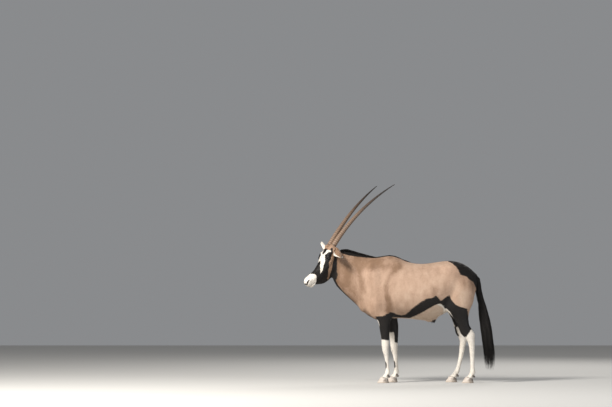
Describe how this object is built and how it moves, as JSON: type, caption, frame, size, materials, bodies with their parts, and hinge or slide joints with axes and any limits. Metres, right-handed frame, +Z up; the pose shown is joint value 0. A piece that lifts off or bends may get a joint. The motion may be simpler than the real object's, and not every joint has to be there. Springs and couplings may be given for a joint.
{
  "type": "gemsbok, standing life-size still model",
  "caption": "Life-size still model of a standing long-horned desert antelope, head turned to its left, for display on a floor.",
  "frame": {"origin": "on the floor, below the middle of the whole model's box", "axes": "+Z up from the floor, the animal faces -X, its left side is towards -Y"},
  "size_m": [1.8055, 0.7052, 1.8805],
  "materials": {
    "coat": "short matt hair, fawn grey with black and white markings",
    "long_hair": "long black hair, slightly glossy",
    "eye": "wet gloss",
    "horn": "satin ringed horn",
    "hoof": "satin hoof horn, dusty"
  },
  "bodies": {
    "root": {"claw_front_left_a": "hoof", "claw_front_left_b": "hoof", "claw_front_right_a": "hoof", "claw_front_right_b": "hoof", "claw_hind_left_a": "hoof", "claw_hind_left_b": "hoof", "claw_hind_right_a": "hoof", "claw_hind_right_b": "hoof", "dewclaw_front_left_a": "hoof", "dewclaw_front_left_b": "hoof", "dewclaw_front_right_a": "hoof", "dewclaw_front_right_b": "hoof", "dewclaw_hind_left_a": "hoof", "dewclaw_hind_left_b": "hoof", "dewclaw_hind_right_a": "hoof", "dewclaw_hind_right_b": "hoof", "ear_left": "coat", "ear_right": "coat", "eye_left": "eye", "eye_right": "eye", "head": "coat", "horn_left": "horn", "horn_right": "horn", "leg_front_left": "coat", "leg_front_right": "coat", "leg_hind_left": "coat", "leg_hind_right": "coat", "neck": "coat", "tail": "long_hair", "torso": "coat"}
  },
  "joints": []
}
